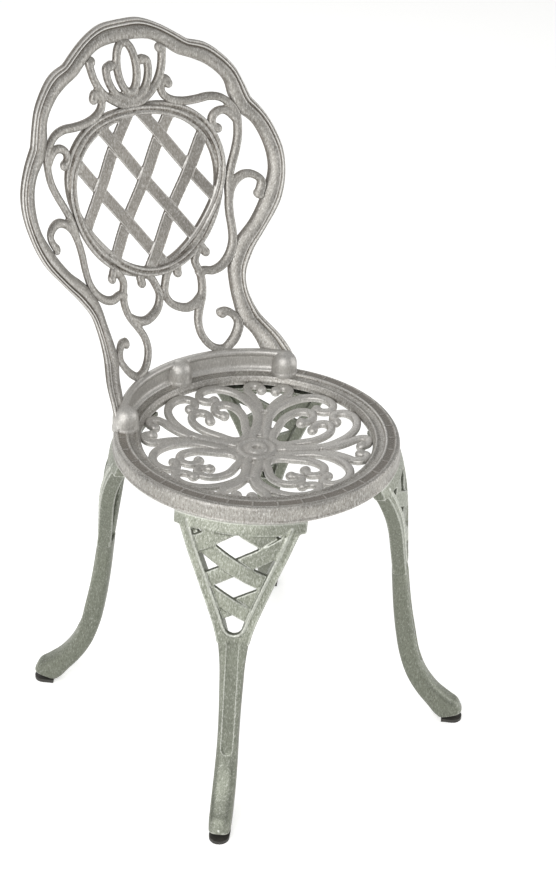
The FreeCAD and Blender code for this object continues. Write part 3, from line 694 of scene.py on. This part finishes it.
# The whole back leans rearward and is bent round the sitter, most of all at the seat. Each pair is a height
# above the seat in mm, and the lean in mm, the bend in 1/mm or half the frame's width in mm.
LEAN = [(-60, -6), (0, 0), (29, 3), (64, 17), (104, 38), (154, 53), (254, 81), (354, 109), (554, 166)]
BEND = [(-60, 0.0033), (0, 0.0033), (29, 0.0029), (64, 0.00212), (104, 0.00177), (154, 0.00129),
        (254, 0.00099), (300, 0.00084), (354, 0.0009), (400, 0.00095), (554, 0.00095)]
HALF = [(0, 140), (29, 133), (64, 120), (104, 115), (154, 140), (217, 185), (254, 199), (289, 200),
        (352, 165), (411, 125), (434, 95), (470, 60)]
# the bend grows with this power of the share of the half width, and outside the frame as a square
BEND_POWER, OUTER_POWER = 2.7, 2.0
# the painted shade on the sides, how sideways the skin faces where it starts, and the range over which it
# grows
SIDE_SHADE, SIDE_FACING, SIDE_RANGE = 0.8, 0.15, 0.45
OUTER = [[(0, 471.5), (29, 470), (62, 457), (82, 445), (98.5, 434)],
         [(98.5, 434), (123, 427), (145, 410), (160, 392), (170, 370), (177, 351)],
         [(177, 351), (190.5, 334), (203, 312), (211.5, 281), (207.5, 245), (197.5, 217), (165.5, 173.5),
          (145, 148), (127.5, 117), (125.5, 99), (129, 76), (147, 41), (152, 21), (153, 0), (153, -12)]]
INNER = [(122.5, 0), (118, 26), (113.5, 44), (103, 62), (102.5, 85), (104.5, 107), (108, 131), (121.5, 158),
         (152, 190), (176, 227), (187.5, 253), (186.5, 288), (176, 313), (157, 332), (147, 353.5), (143, 373),
         (122, 396), (99.5, 408), (79.5, 416), (63, 428), (41, 440), (20, 443.5), (0, 444)]
FRAME_IN = -3.0
FRAME_STEP, SECTION_STEP = 2.0, 1.2
# lines nearer to parallel than this are taken as parallel, and no bar is narrower than this
NO_SLOPE, LEAST_BAR_W = 1e-9, 5
# mm from the inner edge of a bar MOULDED_W mm wide, and mm behind its front
MOULDED_W = 25.0
MOULDING = [(0.6, 10.0), (0.4, 7.5), (0.6, 5.4), (1.4, 3.6), (2.8, 2.2), (4.6, 1.1), (7.0, 0.3), (9.8, 0.0),
            (12.4, 0.4), (14.4, 1.2), (15.8, 2.5), (16.6, 4.3), (17.4, 4.7), (18.0, 3.4), (19.0, 2.4),
            (20.0, 2.6), (20.7, 4.4), (21.4, 4.9), (22.2, 4.2), (23.4, 4.4), (24.2, 5.6), (24.6, 7.4),
            (24.4, 10.0), (23.4, 12.4), (21.5, 13.6), (18.0, 14.0), (7.0, 14.0), (3.5, 13.6), (1.5, 12.4)]
heights = np.arange(-60, 555.0)


def eased(table, reach=17):
    """A table's straight runs with their corners eased over reach mm each way."""
    values = np.interp(heights, *np.array(table).T)
    weights = np.hanning(2 * reach + 1)
    padded = np.pad(values, reach, mode="reflect", reflect_type="odd")
    return np.convolve(padded, weights / weights.sum(), "valid")


lean, bend, half_width = eased(LEAN), eased(BEND), eased(HALF)


def on_back(x, height, inset):
    """The place of a point of the back, inset mm behind the casting's drawn face."""
    half = np.interp(height, heights, half_width)
    share = np.abs(x) / half
    power = np.where(share < 1, BEND_POWER, OUTER_POWER)
    curve = np.interp(height, heights, bend) * half ** 2 * share ** power
    y = FACE_R + np.interp(height, heights, lean) - curve + inset
    return np.stack([x * MM, AXIS_Y + y * MM, SEAT_TOP + height * MM], axis=-1)


def sideways(mesh):
    """For each point of a casting of the back, 0 where its face looks to front or rear and 1 to the side."""
    x, _, z = points_of(mesh).T / MM
    h = z - SEAT_TOP / MM
    front = np.column_stack([(on_back(x + 1, h, 0) - on_back(x - 1, h, 0))[:, 1] / 2, np.full(len(x), -MM),
                             (on_back(x, h + 1, 0) - on_back(x, h - 1, 0))[:, 1] / 2])
    front /= np.linalg.norm(front, axis=1)[:, None]
    return 1 - abs(np.sum(front * normals_of(mesh), axis=1))


def painted_side_shade(mesh):
    """Painted shade on the sides of a casting of the back."""
    return SIDE_SHADE * np.clip((sideways(mesh) - SIDE_FACING) / SIDE_RANGE, 0, 1)


def far_side(point, normal, line):
    """Where a line across the frame from its inner edge meets the outer edge."""
    a, run = line[:-1] - point, np.diff(line, axis=0)
    cross = normal[0] * run[:, 1] - normal[1] * run[:, 0]
    cross[abs(cross) < NO_SLOPE] = NO_SLOPE
    t = (a[:, 0] * run[:, 1] - a[:, 1] * run[:, 0]) / cross
    s = (a[:, 0] * normal[1] - a[:, 1] * normal[0]) / cross
    hit = t[(s >= 0) & (s <= 1) & (t > LEAST_BAR_W)]
    return point + normal * hit.min()


inner_line = smooth_line(INNER, FRAME_STEP)
outer_line = np.vstack([smooth_line(part, FRAME_STEP) for part in OUTER])
heading = np.gradient(inner_line, axis=0)
normals = np.column_stack([heading[:, 1], -heading[:, 0]]) / np.linalg.norm(heading, axis=1)[:, None]
normals[0], normals[-1] = (1, 0), (0, 1)
outer_side = np.array([far_side(p, n, outer_line) for p, n in zip(inner_line, normals)])
inner_line = np.vstack([inner_line, inner_line[-2::-1] * (-1, 1)])
outer_side = np.vstack([outer_side, outer_side[-2::-1] * (-1, 1)])
section = smooth_line(MOULDING + MOULDING[:1], SECTION_STEP)[:-1]
spots = inner_line[:, None] + (outer_side - inner_line)[:, None] * section[None, :, :1] / MOULDED_W
frame_mesh = grid_mesh("frame", on_back(spots[..., 0], spots[..., 1], FRAME_IN + section[None, :, 1]))
# painted shade on the frame's sides
back_frame = piece("back_frame", frame_mesh, PEWTER, painted_side_shade(frame_mesh))
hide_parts("back_casting")


# Foot rail of the back
# A curved strip, cast with the frame, that stands on the seat's ring and carries the whole back. It has a
# sunk face, a rolled bead along its top, and three thimble-shaped bosses that take the screws from below.
BOSS_SPREAD = 51.0
# painted light: the whole rail is mixed a share towards the pale colour, so it reads lighter
RAIL_PAINTED_LIGHT = 0.35
BOSS_AT_R = 174.5
RAIL_SKIN = (1.1, 1)
# radius and height above the seat's top
RAIL = [(169.0, -2), (169.4, 0.4), (171.0, 1.4), (172.8, 3.0), (173.8, 5.0), (174.2, 8.0), (174.3, 20.0),
        (173.8, 21.6), (172.6, 22.6), (172.0, 24.4), (172.2, 26.6), (173.6, 28.4), (175.6, 29), (181.0, 29),
        (182.6, 28.0), (183, 26), (183, -2)]
DOME = [(18.2, -5.0), (18.2, 1.0), (17.4, 2.6), (17.3, 13.0), (16.8, 16.8), (15.4, 20.8), (13.0, 24.4),
        (9.8, 27.2), (6.0, 28.9), (2.0, 29.5)]
rail_rows = [[round_seat(r, a, z) for r, z in RAIL]
             for a in np.arange(90 - BOSS_SPREAD, 90 + BOSS_SPREAD + 0.1, 1.5)]
rail_meshes = [grid_mesh("rail", rail_rows)]
around = np.radians(np.arange(0, 360, 10))
for turn in (-BOSS_SPREAD, 0.0, BOSS_SPREAD):
    centre = Vector(round_seat(BOSS_AT_R, 90 + turn, 0))
    dome_rows = [[(centre.x + r * MM * math.cos(t), centre.y + r * MM * math.sin(t), centre.z + z * MM)
                  for t in around] for r, z in DOME]
    rail_meshes.append(grid_mesh("boss", dome_rows))
piece("back_foot_rail", cast_as_one(rail_meshes, *RAIL_SKIN), PEWTER, rubbed=RAIL_PAINTED_LIGHT)


# Scroll-work of the back
# Round cast bars about 11 mm thick in pairs of S and C scrolls, each ending in a knob, with a tulip and its
# cup at the top. They are one casting with the frame, so the joints are softly filled.
SCROLL_BAR = (11.0, 10.0, 4.6)
SCROLL_KNOB, SCROLL_IN = 6.7, 2.0
SCROLL_SKIN = (1.25, 3)
CUP = [(0, 365), (12, 366), (30, 375), (44.5, 388), (52.5, 402), (57, 420), (58, 429), (54.5, 428.5)]
CALYX = [(0, 371), (9, 374), (22, 381), (29, 391.5), (33, 407), (31.5, 417), (25, 418)]
TOP = [(125.5, 222), (129, 244), (137, 263.5), (145, 280), (152, 299), (154, 318), (153.5, 331), (145, 345),
       (134, 353.5), (116, 357), (100.5, 355.5), (77.5, 356), (61, 360.5), (49.5, 370), (47.5, 379),
       (53, 387.5), (58, 388.5), (60, 382)]
HOOK = [(153, 321.5), (143.5, 332.5), (137, 336.5), (128, 336), (118.5, 328.5), (117.5, 320), (124.5, 313.5)]
SIDE = [(60, 126), (70, 131), (83, 129), (93, 131.5), (106.5, 141), (119.5, 162.5), (122, 179.5),
        (122.5, 201.5), (125, 218.5), (132, 235.5), (144.5, 246.5), (153, 249.5), (161, 249), (173.5, 239),
        (170, 228), (166.5, 222)]
LOW = [(78, 155), (72, 165), (65, 157), (60, 146), (64.5, 129), (65, 115.5), (61, 99.5), (53, 86),
       (45.5, 70.5), (44.5, 56.5), (50, 42), (59.5, 32), (73.5, 28.5), (84, 35.5), (94.5, 48), (100, 61),
       (95.5, 71.5), (87, 76), (81, 74)]
HEART = [(60, 99), (48.5, 91.5), (37.5, 88.5), (23.5, 91.5), (10.5, 100), (4.5, 114), (8.5, 129), (15, 141),
         (24, 147), (31, 146), (30, 136)]
TULIP_Z, TULIP_RX, TULIP_RZ = 412.0, 15.0, 31.8
tulip = [(TULIP_RX * math.sin(t), TULIP_Z + TULIP_RZ * math.cos(t)) for t in np.linspace(0, 2 * math.pi, 33)]
scrolls = [swept_bars(mirrored([CUP, CALYX, TOP, HOOK, SIDE, HEART]), *SCROLL_BAR, SCROLL_KNOB, PEWTER),
           swept_bars(mirrored([LOW]), *SCROLL_BAR, SCROLL_KNOB, PEWTER, first_knobs=1),
           swept_bars([tulip], *SCROLL_BAR, NO_KNOB, PEWTER, closed=True)]
scroll_mesh = cast_as_one([lay_on(on_back, m, SCROLL_IN) for m in scrolls], *SCROLL_SKIN)
# painted shade on the scrolls' sides
piece("back_scrolls", scroll_mesh, PEWTER, painted_side_shade(scroll_mesh))


# Medallion of the back
# Two strands wind about each other round an oval and cross four times. Each is a pair of ridges with a groove
# between. Flat slats inside are woven over and under into a diamond lattice. All is one casting with the
# back.
MED_Z, MED_RX, MED_RZ = 257.5, 119.0, 105.0
EGG = 5.5
SWING, SWING_TURN = 4.4, 0.15
# width, depth and rounding of each bar
RIDGE, CORE, SLAT = (5.0, 9.5, 2.6), (10.0, 5.0, 1.5), (16.8, 5.0, 0.7)
RIDGE_IN, CORE_IN, SLAT_IN = 2.8, 5.0, 2.5
RIDGE_APART, RIDGE_RISE = 6.8, 2.2
SLAT_PITCH, SLAT_Z, SLAT_ANGLE = 73.0, 268.9, 53.7
SLAT_WAVE = 1.7
# how much darker the slats are
SLAT_DARKENING = 0.3
# how sideways the skin of a slat faces at its edges with a painted highlight, and how far to either side of
# that they reach
SLAT_ARRIS, SLAT_ARRIS_RANGE = 0.32, 0.28
# the slats lie within this share of the oval, and meet the ring over the next
WITHIN_RING, RING_RANGE = 0.94, 0.03
MED_SKIN = (1.15, 1)
turns = np.linspace(0, 2 * math.pi, 121)


def round_medallion(shift=0.0):
    """The medallion's oval, fuller above than below, drawn shift mm outside its middle line."""
    out = shift + EGG * np.sin(3 * turns)
    return np.column_stack([(MED_RX + out) * np.cos(turns), MED_Z + (MED_RZ + out) * np.sin(turns)])


def slat_run(x0, angle):
    """A slat's two ends, where it meets the middle of the ring, and its middle."""
    ring = round_medallion()[:-1] - (0, MED_Z)
    bearing = np.arctan2(ring[:, 1], ring[:, 0])
    order = np.argsort(bearing)
    angle = math.radians(angle)
    spot = np.linspace(-150, 150, 1201)[:, None] * (math.cos(angle), math.sin(angle)) + (x0, SLAT_Z - MED_Z)
    edge = np.interp(np.arctan2(spot[:, 1], spot[:, 0]), bearing[order], np.hypot(*ring.T)[order],
                     period=2 * math.pi)
    held = spot[np.hypot(*spot.T) < edge] + (0, MED_Z)
    return [tuple(held[0]), tuple(held[len(held) // 2]), tuple(held[-1])]


medallion = []
for sign in (1, -1):
    for side in (1, -1):
        loop = round_medallion(sign * SWING * np.sin(2 * turns + SWING_TURN) + side * RIDGE_APART / 2)
        ridge = swept_bars([loop], *RIDGE, NO_KNOB, PEWTER, closed=True)
        medallion.append(lay_on(on_back, ridge, RIDGE_IN, lambda x, h, rise=RIDGE_RISE * sign: rise * np.cos(
            2 * np.arctan2((h - MED_Z) / MED_RZ, x / MED_RX))))
core = swept_bars([round_medallion()], *CORE, NO_KNOB, PEWTER, closed=True)
medallion.append(lay_on(on_back, core, CORE_IN))
cross_step = SLAT_PITCH / 2 * math.tan(math.radians(SLAT_ANGLE))
for sign in (1, -1):
    runs = [slat_run(k * SLAT_PITCH, sign * SLAT_ANGLE) for k in (-1, 0, 1)]
    flat = swept_bars(runs, *SLAT, NO_KNOB, PEWTER)
    medallion.append(lay_on(on_back, flat, SLAT_IN, lambda x, h, sign=sign: sign * SLAT_WAVE * np.cos(
        math.pi * (h - SLAT_Z) / cross_step)))
medallion_mesh = cast_as_one(medallion, *MED_SKIN)
x, _, z = points_of(medallion_mesh).T / MM
# the slats are what lies within the ring
within = np.hypot(x / MED_RX, (z - SEAT_TOP / MM - MED_Z) / MED_RZ)
slat_darkening = SLAT_DARKENING * np.clip((WITHIN_RING - within) / RING_RANGE, 0, 1)
# a painted highlight along the slats' edges, and painted shade on the sides
arris = np.clip(1 - abs(sideways(medallion_mesh) - SLAT_ARRIS) / SLAT_ARRIS_RANGE, 0, 1)
slat_arris_highlight = ARRIS_HIGHLIGHT * arris * (slat_darkening > 0)
piece("back_medallion", medallion_mesh, PEWTER,
      np.maximum(painted_side_shade(medallion_mesh), slat_darkening), slat_arris_highlight)


# Back screws
# Three hexagon screws of the same zinc-plated steel, up through the seat's ring into the bosses of the back.
# Their heads bear on the ring's flat underside, out of sight from above. They keep their modelled shape.
plate_with_zinc("back_screw")


# Floor and light
# A plain matt white floor in even soft light, with a wide key lamp on the left, a weak fill on the right and
# one behind. The camera and the metal see the floor as plain white, and it keeps the chair's shadow.
FLOOR_HALF, FLOOR_LIFT = 6, 0.46
white_floor, tree = blank_material("matt_white_floor_paint")
rays = add(tree, "ShaderNodeLightPath").outputs
seen = add(tree, "ShaderNodeMath", {0: rays["Is Camera Ray"], 1: rays["Is Glossy Ray"]}, operation="MAXIMUM")
seen = add(tree, "ShaderNodeMath", {0: seen.outputs[0], 1: rays["Is Transmission Ray"]}, operation="MAXIMUM")
lift = add(tree, "ShaderNodeMath", {0: seen.outputs[0], 1: FLOOR_LIFT}, operation="MULTIPLY")
shader = add(tree, "ShaderNodeBsdfPrincipled", {"Base Color": linear("#F4F4F2"), "Roughness": 0.9,
                                                "Emission Color": (1, 1, 1, 1),
                                                "Emission Strength": lift.outputs[0]})
add(tree, "ShaderNodeOutputMaterial", {"Surface": shader.outputs[0]})
floor_mesh = bpy.data.meshes.new("floor")
corners = [(x * FLOOR_HALF, y * FLOOR_HALF, 0) for x, y in ((-1, -1), (1, -1), (1, 1), (-1, 1))]
floor_mesh.from_pydata(corners, [], [(0, 1, 2, 3)])
floor = bpy.data.objects.new("floor", floor_mesh)
floor.data.materials.append(white_floor)
bpy.context.scene.collection.objects.link(floor)

SOFT_LIGHT = 0.46
CHAIR_MIDDLE = Vector((0, 0, 0.5))
world = bpy.data.worlds.new("surround")
bpy.context.scene.world = world
world.use_nodes = True
sky = world.node_tree
sky.nodes.clear()
soft = add(sky, "ShaderNodeBackground", {"Color": (1, 1, 1, 1), "Strength": SOFT_LIGHT})
add(sky, "ShaderNodeOutputWorld", {"Surface": soft.outputs[0]})


def lamp(name, place, size, power):
    """A round soft lamp turned to the middle of the chair."""
    light = bpy.data.objects.new(name, bpy.data.lights.new(name, "AREA"))
    light.data.shape = "DISK"
    light.data.size = size
    light.data.energy = power
    light.location = place
    light.rotation_mode = "QUATERNION"
    light.rotation_quaternion = (CHAIR_MIDDLE - Vector(place)).to_track_quat("-Z", "Y")
    bpy.context.scene.collection.objects.link(light)


lamp("key", (-2.0, -1.0, 1.7), 3.0, 52.0)
lamp("fill", (2.2, -1.4, 1.0), 2.0, 16.0)
lamp("rim", (0.6, 2.5, 2.0), 2.4, 17.0)
bpy.context.scene.view_settings.view_transform = "Standard"
